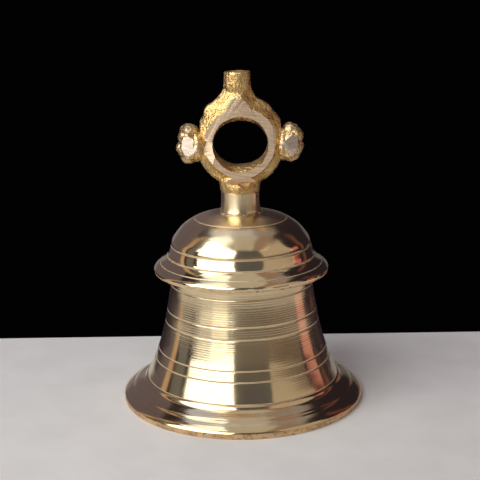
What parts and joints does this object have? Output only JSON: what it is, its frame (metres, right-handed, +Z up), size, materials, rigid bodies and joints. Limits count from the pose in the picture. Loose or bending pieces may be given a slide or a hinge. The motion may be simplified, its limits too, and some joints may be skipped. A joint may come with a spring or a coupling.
{
  "type": "temple bell",
  "caption": "Turned brass temple bell with a flanged dome, a cast ring hanger with a rosette each side, and an iron-linked clapper inside.",
  "frame": {"origin": "centre of the mouth, on the flat underside of the rim that the bell stands on", "axes": "+Z up the bell's axis to the hanger; X across the hanger through the two rosettes, +X on the viewer's right; the hanger's hole runs along Y and -Y faces the viewer"},
  "size_m": [0.14, 0.14, 0.1893],
  "materials": {
    "turned_brass": "turned and polished outside, raw cast on the rim edge, the flange's underside and the inside",
    "cast_brass": "rough cast with flats filed by hand",
    "braze_metal": "rough run of filler metal",
    "clapper_brass": "cast, dulled, worn bright where it strikes",
    "forged_iron": "black forged scale with a little rust",
    "plated_steel": "dull zinc plating"
  },
  "bodies": {
    "bell": {"bell_casting": "turned_brass", "hanger_casting": "cast_brass", "rosette_left": "cast_brass", "rosette_right": "cast_brass", "foot_braze": "braze_metal", "eye_bolt": "forged_iron", "crown_washer": "plated_steel", "crown_nut": "plated_steel"},
    "link": {"clapper_link": "forged_iron"},
    "clapper": {"clapper_rod": "forged_iron", "clapper_ball": "clapper_brass", "rivet_washer": "forged_iron"}
  },
  "joints": [
    {"name": "link_turn", "type": "hinge", "parent": "bell", "child": "link", "pos_m": [0, 0, 0.07705], "axis": [0, 0, 1], "range_deg": [-35, 35]},
    {"name": "clapper_swing", "type": "hinge", "parent": "link", "child": "clapper", "pos_m": [0, 0, 0.07055], "axis": [0, 1, 0], "range_deg": [-38, 38]}
  ]
}
